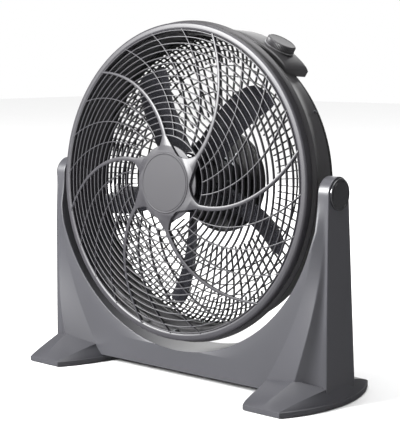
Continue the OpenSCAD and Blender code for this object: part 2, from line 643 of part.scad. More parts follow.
module impeller() color("black") head() difference() {
  union() {
    turned() polygon([[0, cup_y], [cup_r - 5, cup_y], [cup_r, cup_y + 5], [cup_r, cup_y + cup_d],
      [cup_r - 3, cup_y + cup_d], [cup_r - 3, cup_y + 6], [cup_r - 6, cup_y + 3], [11, cup_y + 3],
      [11, cup_y + cup_d - 8], [0, cup_y + cup_d - 8]]);
    round_y(blade_count, 0, blade_start) blade();
  }
  along_y(cup_y - 1, cup_d + 2, shaft_r + 0.02);
}
module impeller_nut() color("silver") head() difference() {
  translate([0, cup_y - 5.1, 0]) rotate([-90, 0, 0]) cylinder(r = shaft_r * 2, h = 5, $fn = 6);
  along_y(cup_y - 10, 20, shaft_r + 0.02);
}

stand_shell();
stand_rear_cover();
left_foot();
right_foot();
foot_pads();
foot_screws();
cover_screws();
left_pivot_bush();
right_pivot_bush();
left_pivot_cap();
right_pivot_cap();
friction_discs();
drum();
front_grille();
hub_badge();
grille_screws();
rear_grille();
rear_grille_screws();
motor_front_bell();
motor_rear_bell();
stator_core();
stator_windings();
front_bearing();
rear_bearing();
motor_screws();
motor_mount_screws();
motor_cover();
motor_cover_screws();
run_capacitor();
cord_grommet();
control_housing();
housing_screws();
rotary_switch();
dial_ring();
pivot_bolts();
pivot_nuts();
impeller();
motor_shaft();
rotor_core();
impeller_nut();
speed_knob();
switch_spindle();
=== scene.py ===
"""Floor box fan: a round fan head that tilts between the uprights of a moulded stand.

The fan blows towards -Y, +X is to the viewer's right, +Z is up. Shapes are worked out in millimetres.
Head pieces are worked out in the head's own frame, whose Y axis is the fan's axis.
"""
import json
import math
from types import SimpleNamespace

import bmesh
import bpy
import numpy as np
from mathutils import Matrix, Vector


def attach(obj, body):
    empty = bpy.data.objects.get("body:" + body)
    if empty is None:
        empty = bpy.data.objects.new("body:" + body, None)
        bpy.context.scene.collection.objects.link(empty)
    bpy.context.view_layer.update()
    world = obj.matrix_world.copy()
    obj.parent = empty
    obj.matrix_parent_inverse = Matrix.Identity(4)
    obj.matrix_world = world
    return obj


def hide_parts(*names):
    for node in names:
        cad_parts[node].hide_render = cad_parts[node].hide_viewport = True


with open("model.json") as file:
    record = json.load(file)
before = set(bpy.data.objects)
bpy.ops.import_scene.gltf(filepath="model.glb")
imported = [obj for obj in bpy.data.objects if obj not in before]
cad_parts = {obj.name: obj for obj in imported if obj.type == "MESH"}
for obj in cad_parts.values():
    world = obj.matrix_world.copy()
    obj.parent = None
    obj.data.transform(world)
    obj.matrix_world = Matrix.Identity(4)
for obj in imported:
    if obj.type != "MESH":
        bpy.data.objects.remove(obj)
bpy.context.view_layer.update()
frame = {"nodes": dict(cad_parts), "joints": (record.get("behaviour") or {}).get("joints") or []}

bl_info = {
    "name": "Box fan",
    "version": (1, 0, 0),
    "blender": (4, 5, 0),
    "location": "View3D > Sidebar > Box fan",
    "description": "Builds a floor box fan piece by piece around its packed frame",
    "category": "Add Mesh",
}

MM = 0.001
WAVE_RATE = 0.314 / 6.2832                 # Wave texture scale that gives one band in a length of 1
JOINTS = {joint["name"]: joint for joint in frame["joints"]}
PIVOT = np.array(JOINTS["head_tilt"]["pos_m"]) / MM
FAN_AXIS = np.array(JOINTS["impeller_spin"]["axis"])
KNOB_AXIS = np.array(JOINTS["speed_knob_turn"]["axis"])
KNOB_PLACE = np.array(JOINTS["speed_knob_turn"]["pos_m"]) / MM


# ---- Sizes and colours ----------------------------------------------------------------------

def linear(code):
    """Turn an sRGB hex colour into the linear red, green and blue that shaders take."""
    parts = np.array([int(code[k:k + 2], 16) for k in (1, 3, 5)]) / 255
    return tuple(np.where(parts <= 0.04045, parts / 12.92, ((parts + 0.055) / 1.055) ** 2.4))


def length(name, millimetres, description):
    """A size that the user may change, held in metres."""
    return bpy.props.FloatProperty(name=name, description=description, default=millimetres * MM,
                                   min=0.0, precision=5, unit="LENGTH")


def angle(name, degrees, description):
    """An angle that the user may change, held in radians."""
    return bpy.props.FloatProperty(name=name, description=description,
                                   default=math.radians(degrees), subtype="ANGLE")


def count(name, number, description):
    """A number of like features."""
    return bpy.props.IntProperty(name=name, description=description, default=number, min=1)


def colour(name, code, description):
    """A colour that the user may change."""
    return bpy.props.FloatVectorProperty(name=name, description=description, size=3, min=0, max=1,
                                         default=linear(code), subtype="COLOR")


class BOXFAN_head_sizes(bpy.types.PropertyGroup):
    """Sizes of the drum, the grilles and the controls"""
    opening: length("Opening radius", 276, "Radius of the opening that the front grille fills")
    lip: length("Lip width", 15, "How far the drum's lip stands outside the opening")
    wall: length("Drum wall", 2.5, "Wall thickness of the drum")
    depth: length("Drum depth", 53, "Depth of the drum's side wall behind its lip")
    dome: length("Dome height", 31, "How far the hub stands in front of the rim")
    badge: length("Badge radius", 55, "Radius of the blank badge on the hub")
    rib_width: length("Rib width", 1.9, "Width of a ring or a thin rib")
    rib_depth: length("Rib depth", 5.5, "Depth of a ring or a rib, front to back")
    rings: count("Rings", 17, "Number of rings in the front grille")
    arms: count("Arms", 6, "Number of thick curved arms")
    thin_ribs: count("Thin ribs", 3, "Thin ribs between two arms")
    sweep: angle("Arm sweep", 45, "Turn of an arm from the hub to the rim")
    bowl: length("Bowl depth", 42, "How far the rear grille bulges behind the drum")
    fins: count("Fins", 144, "Number of fins in the rear grille")
    cover: length("Motor cover radius", 66, "Radius of the rear motor cover")
    knob: length("Knob radius", 27, "Radius of the speed knob")
    knob_height: length("Knob height", 12, "Height of the speed knob")


class BOXFAN_impeller_sizes(bpy.types.PropertyGroup):
    """Sizes of the impeller"""
    blades: count("Blades", 5, "Number of blades")
    tip: length("Tip radius", 228, "Radius of the blade tips")
    cup: length("Hub radius", 55, "Radius of the hub cup")
    root_chord: length("Root chord", 52, "Width of a blade at the hub")
    tip_chord: length("Tip chord", 62, "Width of a blade at its tip")
    root_pitch: angle("Root pitch", 36, "Blade angle at the hub")
    tip_pitch: angle("Tip pitch", 24, "Blade angle at the tip")


class BOXFAN_stand_sizes(bpy.types.PropertyGroup):
    """Sizes of the stand and its feet"""
    head_gap: length("Head gap", 15, "Gap between the drum's lip and the cut-out under it")
    side_gap: length("Side gap", 9, "Gap between the drum's lip and an upright")
    underside: length("Underside", 14, "Height of the panel's lower edge above the floor")
    depth: length("Stand depth", 96, "Depth of the stand at the floor")
    upright: length("Upright thickness", 22, "Thickness of an upright at the pivot")
    upright_radius: length("Upright radius", 30, "Radius of an upright's rounded top")
    back_lean: length("Back lean", 24, "How far the back leans in from the floor to the pivot")
    foot_length: length("Foot length", 267, "Length of a foot, front to back")
    foot_width: length("Foot width", 152, "Width of a foot in the middle")
    foot_end: length("Foot end", 76, "Width of a foot's straight ends")
    foot_rim: length("Foot rim", 10, "Height of a foot's upright rim")
    foot_height: length("Foot height", 46, "Height of the top of a foot")
    pad: length("Pad height", 1.5, "How far the rubber pads stand out under a foot")


class BOXFAN_colours(bpy.types.PropertyGroup):
    """Colours of the visible mouldings"""
    stand: colour("Stand", "#3E3E42", "Charcoal of the stand and feet")
    head: colour("Head", "#3A393B", "Charcoal of the drum and the control housing")
    grille: colour("Grille", "#333236", "Dark grey of the front grille")
    rear: colour("Rear grille", "#1C1C1C", "Black of the rear grille")
    impeller: colour("Impeller", "#242428", "Smoky black of the impeller")
    badge: colour("Badge", "#2E2D31", "Grey of the blank badge")


SIZE_GROUPS = {"boxfan_head": BOXFAN_head_sizes, "boxfan_impeller": BOXFAN_impeller_sizes,
               "boxfan_stand": BOXFAN_stand_sizes}


def sizes(group):
    """Read a group's sizes: lengths in millimetres, numbers and angles as they are."""
    values = getattr(bpy.context.scene, group)
    lengths = {}
    for name, prop in values.bl_rna.properties.items():
        if name in type(values).__annotations__:
            lengths[name] = getattr(values, name) / (MM if prop.unit == "LENGTH" else 1)
    return SimpleNamespace(**lengths)


def head_sizes():
    """The head's sizes, with those that follow from them."""
    s = sizes("boxfan_head")
    s.rim_y = -42.0                                  # front edge of the grille's rim
    s.lip_y = -24.0                                  # front of the drum's lip
    s.bevel = 6.0                                    # bevel round the lip's front
    s.wall_y = 1.0                                   # where the side wall's depth is measured from
    s.taper = 7.0                                    # how much the side wall narrows to the rear
    s.end_y = s.wall_y + s.depth                     # back of the drum
    s.lip_r = s.opening + s.lip
    s.rear_r = s.opening - s.taper
    s.rim_r = s.lip_r - s.bevel + 1                  # outside of the grille's rim
    s.neck_y = s.wall_y + 19                         # where the lip's flank meets the side wall
    s.neck_r = s.opening - s.taper * (s.neck_y - s.wall_y) / s.depth
    s.hub_r = s.badge + 13
    s.first_ring = s.hub_r + 17
    s.ring_pitch = (s.opening - s.first_ring) / (s.rings - 0.6)
    s.plate_y = s.end_y + s.bowl                     # front of the motor's plate
    s.plate_r = 92.0
    s.housing_r = s.opening + 8
    return s


def stand_sizes():
    """The stand's sizes, with those that follow from them."""
    s = sizes("boxfan_stand")
    s.lip_r = head_sizes().lip_r
    s.cut_r = s.lip_r + s.head_gap
    s.inner_x = s.lip_r + s.side_gap
    s.top_x = s.inner_x + s.upright
    s.flare = 4.0
    s.front_y = -46.0
    s.corner_y = -37.0
    s.wing_top = PIVOT[2] - s.upright_radius
    s.foot_x = s.top_x + s.flare - 65.5
    return s


# ---- Making meshes --------------------------------------------------------------------------

def smooth(t):
    """A step from 0 to 1 that starts and ends level."""
    t = np.clip(t, 0, 1)
    return t * t * (3 - 2 * t)


def soften(corners, cut, steps=3):
    """Round the corners of closed outlines, each by a quadratic curve that has the corner as its
    middle control point and starts and ends `cut` millimetres from it along the two edges."""
    corners = np.asarray(corners, float)
    cut = np.broadcast_to(np.asarray(cut, float), corners.shape[:-1])[..., None]

    def reach(step):
        edge = np.roll(corners, step, axis=-2) - corners
        far = np.maximum(np.linalg.norm(edge, axis=-1, keepdims=True), 1e-9)
        return corners + edge * np.minimum(cut / far, 0.48)

    start, end = reach(1)[..., None, :], reach(-1)[..., None, :]
    t = np.linspace(0, 1, steps + 1)[:, None]
    curve = (1 - t) ** 2 * start + 2 * t * (1 - t) * corners[..., None, :] + t * t * end
    return curve.reshape(*corners.shape[:-2], -1, corners.shape[-1])


def surface(points, wrap_rows=False, wrap_cols=True):
    """Quads over one grid of points, or over many like grids: each quad joins a point to the next
    along its row, down its column and across."""
    points = points[None] if points.ndim == 3 else points
    copies, rows, cols, _ = points.shape
    row = np.arange(rows if wrap_rows else rows - 1)[:, None]
    col = np.arange(cols if wrap_cols else cols - 1)[None, :]
    below, beside = (row + 1) % rows, (col + 1) % cols
    corners = (row * cols + col, row * cols + beside, below * cols + beside, below * cols + col)
    one = np.stack(corners, axis=-1).reshape(1, -1, 4)
    first = np.arange(copies)[:, None, None] * rows * cols
    return points.reshape(-1, 3), (first + one).reshape(-1, 4)


def capped(points):
    """Close a tube's ends: one more row at each, gathered at the middle of that end."""
    middle = points[..., [0, -1], :, :].mean(axis=-2, keepdims=True)
    middle = np.broadcast_to(middle, points[..., [0, -1], :, :].shape)
    return np.concatenate([middle[..., :1, :, :], points, middle[..., 1:, :, :]], axis=-3)


def lathe(profile, segments=192):
    """Turn a closed profile of radius and depth once round the Y axis."""
    turn = np.linspace(0, 2 * np.pi, segments, endpoint=False)[:, None]
    r, y = np.asarray(profile, float).T
    points = np.stack([r * np.sin(turn), y + 0 * turn, r * np.cos(turn)], axis=-1)
    return surface(points, wrap_rows=True)


def turned_on_x(profile, centre, side=1, segments=96):
    """Turn a closed profile of distance and radius round an axis along X, on the side's X."""
    turn = np.linspace(0, 2 * np.pi, segments, endpoint=False)[:, None]
    x, r = np.asarray(profile, float).T
    points = np.stack([side * (x + 0 * turn), centre[1] + r * np.cos(turn),
                       centre[2] + r * np.sin(turn)], axis=-1)
    return surface(points, wrap_rows=True)


def on_head(points):
    """Place head points: lean the fan's axis from Y to the joint's axis, then move to the pivot."""
    x, y, z = points.T
    lean, drop = FAN_AXIS[1], -FAN_AXIS[2]
    return np.stack([x, y * lean + z * drop, z * lean - y * drop], axis=-1) + PIVOT


def on_knob(points):
    """Place knob points: local Z lies along the knob's axis, local Y along the fan's axis."""
    across = np.cross(FAN_AXIS, KNOB_AXIS)
    return points @ np.stack([across, FAN_AXIS, KNOB_AXIS]) + PIVOT + (
        FAN_AXIS * np.dot(KNOB_PLACE - PIVOT, FAN_AXIS))


def add_piece(name, shapes, body, finish, replaced=(), place=None, sharp=35, mirrored=False):
    """Join shapes into one mesh, merge the points they share, point its faces outwards, shade it
    smooth with edges sharper than `sharp` degrees kept, and let it ride on its body."""
    points = np.concatenate([shape[0] for shape in shapes])
    firsts = np.cumsum([0] + [len(shape[0]) for shape in shapes[:-1]])
    faces = np.concatenate([shape[1] + first for shape, first in zip(shapes, firsts)])
    if mirrored:
        faces = np.concatenate([faces, faces[:, ::-1] + len(points)])
        points = np.concatenate([points, points * (-1, 1, 1)])
    if place:
        points = place(points)
    mesh = bpy.data.meshes.new(name)
    mesh.from_pydata((points * MM).tolist(), [], faces.tolist())
    work = bmesh.new()
    work.from_mesh(mesh)
    bmesh.ops.remove_doubles(work, verts=work.verts, dist=1e-5)
    bmesh.ops.recalc_face_normals(work, faces=work.faces)
    work.to_mesh(mesh)
    work.free()
    mesh.shade_smooth()
    mesh.set_sharp_from_angle(angle=math.radians(sharp))
    mesh.materials.append(finish)
    piece = bpy.data.objects.new(name, mesh)
    bpy.context.scene.collection.objects.link(piece)
    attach(piece, body)
    if replaced:
        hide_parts(*replaced)
    return piece


# ---- Materials ------------------------------------------------------------------------------

def add_node(tree, kind, links=(), **settings):
    """Add a node, set its inputs or attributes by name, and link (output, input) pairs into it."""
    node = tree.nodes.new(kind)
    for name, value in settings.items():
        if hasattr(node, name):
            setattr(node, name, value)
        else:
            node.inputs[name.replace("_", " ")].default_value = value
    for output, socket in links:
        tree.links.new(output, node.inputs[socket])
    return node


def start_material(name, base, roughness, **settings):
    """A new material with one Principled shader, and the tree to finish it in."""
    material = bpy.data.materials.get(name) or bpy.data.materials.new(name)
    material.use_nodes = True
    tree = material.node_tree
    tree.nodes.clear()
    shader = add_node(tree, "ShaderNodeBsdfPrincipled")
    add_node(tree, "ShaderNodeOutputMaterial", [(shader.outputs["BSDF"], "Surface")])
    shader.inputs["Base Color"].default_value = (*base, 1)
    shader.inputs["Roughness"].default_value = roughness
    for socket, value in settings.items():
        shader.inputs[socket.replace("_", " ")].default_value = value
    place = add_node(tree, "ShaderNodeTexCoord").outputs["Object"]
    return material, tree, shader, place


def grain(tree, shader, place, size_mm, bump, rough):
    """A moulded skin: fine noise of one grain size drives the bump and, a little, the roughness."""
    noise = add_node(tree, "ShaderNodeTexNoise", [(place, "Vector")], Scale=1 / (size_mm * MM),
                     Detail=3.0)
    spread = add_node(tree, "ShaderNodeMapRange", [(noise.outputs["Fac"], "Value")],
                      To_Min=rough[0], To_Max=rough[1])
    height = add_node(tree, "ShaderNodeBump", [(noise.outputs["Fac"], "Height")], Strength=bump,
                      Distance=0.1 * MM)
    tree.links.new(spread.outputs["Result"], shader.inputs["Roughness"])
    tree.links.new(height.outputs["Normal"], shader.inputs["Normal"])
    return noise


def tint(tree, shader, place, base, change, size_mm):
    """A slow drift of tone over the surface, as in thick moulded or cast stock."""
    noise = add_node(tree, "ShaderNodeTexNoise", [(place, "Vector")], Scale=1 / (size_mm * MM))
    ramp = add_node(tree, "ShaderNodeValToRGB", [(noise.outputs["Fac"], "Fac")])
    ramp.color_ramp.elements[0].color = (*(np.array(base) * (1 - change)), 1)
    ramp.color_ramp.elements[1].color = (*np.minimum(np.array(base) * (1 + change), 1), 1)
    tree.links.new(ramp.outputs["Color"], shader.inputs["Base Color"])


def chosen(name):
    """A colour from the panel."""
    return tuple(getattr(bpy.context.scene.boxfan_colours, name))


def moulded_abs(name, base, rough, grain_mm=0.9, bump=0.12):
    """Injection-moulded ABS from a spark-eroded tool: an even satin skin that softens highlights.
    The real grain is finer; it is drawn coarse enough to show."""
    material, tree, shader, place = start_material(name, base, rough, IOR=1.53)
    grain(tree, shader, place, grain_mm, bump, (rough - 0.05, rough + 0.07))
    tint(tree, shader, place, base, 0.04, 60)
    return material


def stand_abs():
    """Charcoal ABS of the stand and feet: satin, so its facets read as broad soft gradients."""
    return moulded_abs("charcoal_satin_abs_stand", chosen("stand"), 0.36)


def head_abs():
    """Charcoal ABS of the drum and housing: a little glossier on its rounded edges."""
    return moulded_abs("charcoal_satin_abs_head", chosen("head"), 0.38)


def grille_polypropylene():
    """Dark moulded polypropylene of the front grille: semi-gloss, bright along each rib's edge."""
    return moulded_abs("dark_grille_polypropylene", chosen("grille"), 0.42, 0.7, 0.06)


def rear_polypropylene():
    """Black moulded polypropylene of the rear grille and motor cover."""
    return moulded_abs("black_grille_polypropylene", chosen("rear"), 0.4, 0.8, 0.1)


def impeller_plastic():
    """Smoky glossy SAN of the impeller: polished tooling gives clear highlights on the blades."""
    material, tree, shader, place = start_material(
        "smoky_gloss_san", chosen("impeller"), 0.16, IOR=1.57, Coat_Weight=0.4, Coat_Roughness=0.08)
    grain(tree, shader, place, 40, 0.04, (0.12, 0.22))
    return material


def badge_plastic():
    """Grey moulded badge with a fine matt skin and no marking."""
    return moulded_abs("grey_matt_badge_abs", chosen("badge"), 0.6, 0.6, 0.1)


def gloss_cap_abs():
    """Glossy black ABS of the pivot caps: a polished tool leaves a clear reflection."""
    material, tree, shader, place = start_material("black_gloss_abs", linear("#2B2B2D"), 0.2,
                                                   IOR=1.53, Coat_Weight=0.3)
    grain(tree, shader, place, 25, 0.03, (0.16, 0.26))
    return material


def foot_rubber():
    """Matt black rubber of the pads and the grommet, slightly mottled by its filler."""
    material, tree, shader, place = start_material("black_rubber", linear("#1E1E1E"), 0.85, IOR=1.5)
    grain(tree, shader, place, 1.2, 0.4, (0.75, 0.95))
    return material


def zinc_steel():
    """Bright zinc-plated steel of the screws: metallic, with a faint crystalline unevenness."""
    material, tree, shader, place = start_material("zinc_plated_steel", linear("#B9BCC0"), 0.32,
                                                   Metallic=1.0)
    grain(tree, shader, place, 0.8, 0.1, (0.25, 0.42))
    return material


def ground_steel():
    """Ground steel of the shafts: rings of grinding marks across a bright metal."""
    material, tree, shader, place = start_material("ground_steel", linear("#A9ABAF"), 0.24,
                                                   Metallic=1.0)
    grain(tree, shader, place, 0.4, 0.08, (0.18, 0.34))
    return material


def white_nylon():
    """Natural white nylon of the bushes, switch and capacitor case: slightly waxy."""
    material, tree, shader, place = start_material("natural_nylon", linear("#E4E1D8"), 0.45,
                                                   IOR=1.53, Subsurface_Weight=0.1)
    grain(tree, shader, place, 1.0, 0.08, (0.4, 0.55))
    return material


def fibre_board():
    """Tan vulcanised fibre of the friction discs, with short fibres in its tone."""
    material, tree, shader, place = start_material("vulcanised_fibre", linear("#A87F52"), 0.8)
    grain(tree, shader, place, 0.8, 0.3, (0.7, 0.9))
    tint(tree, shader, place, linear("#A87F52"), 0.2, 3)
    return material


def cast_aluminium():
    """Die-cast aluminium of the motor bells: dull metal with a fine cast skin."""
    material, tree, shader, place = start_material("cast_aluminium", linear("#9A9C9F"), 0.5,
                                                   Metallic=1.0)
    grain(tree, shader, place, 1.5, 0.3, (0.42, 0.62))
    return material


def laminated_steel():
    """Stacked electrical steel of the stator and rotor: thin sheets show as lines across Y.
    Real sheets are 0.5 mm; they are drawn 1 mm thick so that they show."""
    material, tree, shader, place = start_material("laminated_steel", linear("#77797C"), 0.45,
                                                   Metallic=1.0)
    wave = add_node(tree, "ShaderNodeTexWave", [(place, "Vector")], bands_direction="Y",
                    Scale=WAVE_RATE / (1.0 * MM))
    bump = add_node(tree, "ShaderNodeBump", [(wave.outputs["Fac"], "Height")], Strength=0.5,
                    Distance=0.2 * MM)
    tree.links.new(bump.outputs["Normal"], shader.inputs["Normal"])
    return material


def enamelled_copper():
    """Enamelled copper of the windings: a warm metal in close-laid turns."""
    material, tree, shader, place = start_material("enamelled_copper", linear("#A5562E"), 0.3,
                                                   Metallic=1.0)
    wave = add_node(tree, "ShaderNodeTexWave", [(place, "Vector")], wave_type="RINGS",
                    rings_direction="Y", Scale=WAVE_RATE / (1.2 * MM))
    bump = add_node(tree, "ShaderNodeBump", [(wave.outputs["Fac"], "Height")], Strength=0.6,
                    Distance=0.3 * MM)
    tree.links.new(bump.outputs["Normal"], shader.inputs["Normal"])
    return material


def sintered_bronze():
    """Oil-filled sintered bronze of the bearings: a dull gold with pores."""
    material, tree, shader, place = start_material("sintered_bronze", linear("#A9834A"), 0.5,
                                                   Metallic=1.0)
    grain(tree, shader, place, 0.5, 0.4, (0.4, 0.65))
    return material


def printed_ring():
    """Pale printed ring under the knob, lightly mottled by its ink."""
    material, tree, shader, place = start_material("pale_printed_ring", linear("#A4A4A6"), 0.5)
    tint(tree, shader, place, linear("#A4A4A6"), 0.06, 4)
    return material


# ---- The pieces -----------------------------------------------------------------------------

class BOXFAN_OT_stand(bpy.types.Operator):
    """Add the stand: wings, panel and uprights in one moulding, open at the back for its cover"""
    bl_idname = "boxfan.stand"
    bl_label = "Stand"
    cover_step = 3.2                       # how deep the rear cover lies, and how wide its rim is

    def levels(self, s):
        """Heights of the sections, and how deep the back is recessed at each. They follow the
        cut-out's arc at even angles, and two sections share a height where the recess starts."""
        inner = s.cut_r + self.cover_step
        first = PIVOT[2] - inner * np.cos(np.linspace(0, math.acos(1 - (inner - s.cut_r) / inner), 5))
        arc = np.linspace(0, math.asin(s.inner_x / s.cut_r), 46)
        curved = PIVOT[2] - s.cut_r * np.cos(arc)
        under = s.underside + self.cover_step
        top = s.wing_top - 12
        low = np.array([s.underside, under, under, 24, 33, 40])
        high = np.array([top, top, *np.linspace(top + 6, PIVOT[2], 6)])
        z = np.concatenate([low, first[:-1], curved, [curved[-1] + 8], high])
        deep = np.where((z > under - 1e-6) & (z < top + 1e-6), self.cover_step, 0)
        deep[[1, -7]] = 0
        return z, deep

    def sections(self, s, z, deep):
        """Corners of each section of the +X half, from the middle of the outer side round the front.
        The wing's crease and ridge run outwards as parabolas over the height; the ridge falls back
        to the outer corner as a smooth step, and the strip beyond it is hollowed."""
        down = (s.wing_top - z) / (s.wing_top - 33)
        outer = s.top_x + s.flare * (1 - z / PIVOT[2])
        back = s.front_y + s.depth - s.back_lean * z / PIVOT[2]
        rising = smooth((z - s.wing_top + 70) / 100)
        panel = s.front_y + (PIVOT[1] - s.upright_radius - s.front_y) * rising
        side = s.corner_y + (PIVOT[1] - s.upright_radius - s.corner_y) * rising
        ridge_fall = (s.wing_top - 38 - z) / (s.wing_top - 84)
        ridge_x = s.top_x - 8 - 37 * np.maximum(0, ridge_fall) ** 2
        ridge_y = side - 25 * smooth(ridge_fall)
        crease = s.inner_x + 1 - 95 * np.clip(down, 0, 1) ** 2
        reach = np.clip(PIVOT[2] - z, 0, None)
        edge = np.minimum(np.sqrt(np.maximum(s.cut_r ** 2 - reach ** 2, 0)), s.inner_x)
        rim_r = s.cut_r + self.cover_step
        rim = np.minimum(np.sqrt(np.maximum(rim_r ** 2 - reach ** 2, 0)), s.inner_x + self.cover_step)
        crease = np.maximum(crease, edge + 4)
        hollow_x = 0.5 * (outer + ridge_x)
        hollow_y = 0.5 * (side + ridge_y) + 8 * smooth(ridge_fall + 0.25)
        middle = PIVOT[1] + 0 * z
        corners = [(outer, middle), (outer, side), (hollow_x, hollow_y), (ridge_x, ridge_y),
                   (crease, panel), (0.5 * (crease + edge), panel), (edge, panel), (edge, middle),
                   (edge, back), (rim, back), (rim, back - deep),
                   (outer - self.cover_step, back - deep), (outer - self.cover_step, back),
                   (outer, back)]
        return np.stack([np.stack(pair, axis=-1) for pair in corners], axis=1)

    def execute(self, context):
        s = stand_sizes()
        z, deep = self.levels(s)
        # Corner rounding; corners that lie in the middle plane stay sharp, so no groove forms there
        cut = np.array([0, 2.5, 60, 2, 2, 0, 2, 0, 1.5, 0.3, 0.3, 0.3, 0.3, 2])
        steps = 4
        corners = self.sections(s, z, deep)
        outline = soften(corners, cut * (corners[..., 0] > 1), steps)
        height = np.broadcast_to(z[:, None, None], (*outline.shape[:2], 1))
        walls = np.concatenate([outline, height], axis=-1)
        # The bottom: one more section gathered at a point behind the panel's middle
        floor = walls[:1] * 0 + np.array([0, 0, s.underside])
        walls = np.concatenate([floor, walls])
        # The rounded top: the front half of the last section, turned over the pivot onto the rear half
        half = 8 * (steps + 1)
        front = walls[-1, :half]
        rear = np.concatenate([walls[-1, half - steps - 1:], walls[-1, :steps + 1]])[::-1]
        over = np.linspace(0, np.pi, 25)[:, None]
        mix = over / np.pi
        x = front[:, 0] * (1 - mix) + rear[:, 0] * mix
        radius = (PIVOT[1] - front[:, 1]) * (1 - mix) + (rear[:, 1] - PIVOT[1]) * mix
        top = np.stack([x, PIVOT[1] - radius * np.cos(over), PIVOT[2] + radius * np.sin(over)], -1)
        shapes = [surface(walls), surface(top, wrap_cols=False)]
        # Faces in the middle plane lie inside the whole stand, so they go
        shapes = [(points, faces[np.abs(points[faces][..., 0]).max(axis=1) > 1e-6])
                  for points, faces in shapes]
        add_piece("stand_moulding", shapes, "stand", stand_abs(), ["stand_shell"],
                  mirrored=True, sharp=40)
        return {"FINISHED"}


class BOXFAN_OT_feet(bpy.types.Operator):
    """Add the two feet: a flat arc-sided base that rises in sharp ridges to the stand's wings"""
    bl_idname = "boxfan.feet"
    bl_label = "Feet"

    def base(self, s, inset, z):
        """The base outline: two long arcs cut off square, each of its eight parts in 12 steps."""
        half, bulge = s.foot_length / 2 - inset, (s.foot_width - s.foot_end) / 2
        arc_r = ((s.foot_length / 2) ** 2 + bulge ** 2) / 2 / bulge
        reach = np.linspace(-1, 1, 25)
        side = np.sqrt((arc_r - inset) ** 2 - (half * reach) ** 2) - arc_r + s.foot_width / 2
        inner = np.stack([s.foot_x - side, half * reach], -1)[12::-1]
        front_x = np.linspace(s.foot_x - side[0], s.foot_x + side[0], 25)
        front = np.stack([front_x, np.full(25, -half)], -1)
        outer = np.stack([s.foot_x + side, half * reach], -1)
        rest = np.stack([s.foot_x - side, half * reach], -1)[:11:-1]
        ring = np.concatenate([inner, front[1:], outer[1:], front[::-1][1:] * (1, -1), rest[1:-1]])
        return np.concatenate([ring, np.full((len(ring), 1), z)], axis=-1)

    def crest(self, s):
        """Where the foot meets the stand: points along the wing, one for each of the base's parts."""
        outer = s.top_x + s.flare
        marks = np.array([
            (s.foot_x - 56, 0, 31), (s.foot_x - 54, -44, 33), (s.foot_x + 15, -60, s.foot_height),
            (outer - 2, -36, 34), (outer - 2, 0, 35), (outer - 2, 44, 36), (s.foot_x + 8, 47, 42),
            (s.foot_x - 54, 46, 33), (s.foot_x - 56, 0, 31)])
        part = np.linspace(0, 8, 97)[:-1]
        return np.stack([np.interp(part, np.arange(9), marks[:, k]) for k in range(3)], -1)

    def execute(self, context):
        s = stand_sizes()
        crest = self.crest(s)
        edge = self.base(s, 0, s.foot_rim)
        shoulder = self.base(s, 1.5, s.foot_rim + 1.2)
        rise = np.linspace(0, 1, 15)[:, None, None]
        slope = shoulder + (crest - shoulder) * rise
        # Slightly convex flanks: the height runs ahead of the way in
        lift = (crest[:, 2] - shoulder[:, 2]) * (rise[..., 0] ** 0.86 - rise[..., 0])
        slope[..., 2] += lift
        centre = np.array([s.foot_x, 0, 0])
        under = np.stack([self.base(s, 1, s.pad), self.base(s, 0, s.pad + 1), edge])
        bottom = under[:1] * 0 + centre + (0, 0, s.pad)
        top = slope[-1:] * 0 + centre + (0, 0, 30)
        walls = np.concatenate([bottom, under, slope, top])
        for side, name, node in ((1, "right_foot_moulding", "right_foot"),
                                 (-1, "left_foot_moulding", "left_foot")):
            add_piece(name, [surface(walls * (side, 1, 1))], "stand", stand_abs(),
                      [node], sharp=9)
        return {"FINISHED"}


class BOXFAN_OT_pivot_caps(bpy.types.Operator):
    """Add the round caps over the tilt pivots"""
    bl_idname = "boxfan.pivot_caps"
    bl_label = "Pivot caps"

    def execute(self, context):
        s = stand_sizes()
        r = s.upright_radius - 3
        base = s.top_x + 0.4
        # A flat rim, a narrow groove and a shallow crown, turned round the tilt axis
        corners = [(base, 0), (base + 4.2, 0), (base + 3.6, r - 5), (base + 2.4, r - 4.6),
                   (base + 2.4, r - 3.6), (base + 3.4, r - 3.2), (base + 3.4, r), (base, r)]
        profile = soften(corners, [0, 0, 1.2, 0.4, 0.4, 0.5, 1.4, 0.2])
        for side, word in ((1, "right"), (-1, "left")):
            add_piece(f"{word}_cap_crowned", [turned_on_x(profile, PIVOT, side)], "stand",
                      gloss_cap_abs(), [f"{word}_pivot_cap"])
        return {"FINISHED"}


class BOXFAN_OT_drum(bpy.types.Operator):
    """Add the drum: a bevelled lip whose flank runs back into a side wall that narrows to the rear"""
    bl_idname = "boxfan.drum"
    bl_label = "Drum"

    def execute(self, context):
        s = head_sizes()
        w = s.wall
        corners = [(s.opening - 11, s.lip_y), (s.lip_r - s.bevel, s.lip_y),
                   (s.lip_r, s.lip_y + s.bevel), (s.neck_r, s.neck_y), (s.rear_r, s.end_y),
                   (s.rear_r - w, s.end_y), (s.neck_r - w, s.neck_y),
                   (s.lip_r - w - 1, s.lip_y + s.bevel + 1), (s.lip_r - s.bevel - 1, s.lip_y + w),
                   (s.opening - 11, s.lip_y + w)]
        shell = lathe(soften(corners, [0.6, 2.5, 2.5, 16, 0.8, 0.4, 10, 2, 1, 0.6], 5), 256)
        far = stand_sizes().inner_x - 2.3
        boss = soften([(s.opening - 3, 0), (far, 0), (far, 15), (s.opening - 3, 15)], [0, 0, 0.8, 0])
        bosses = [turned_on_x(boss, np.zeros(3), side) for side in (1, -1)]
        add_piece("drum_moulding", [shell, *bosses], "head", head_abs(), ["drum"],
                  place=on_head)
        return {"FINISHED"}


def dome_y(s, r):
    """Front of the grille: a paraboloid from the rim forward to the hub."""
    return s.rim_y - s.dome * (1 - (r / s.opening) ** 2)


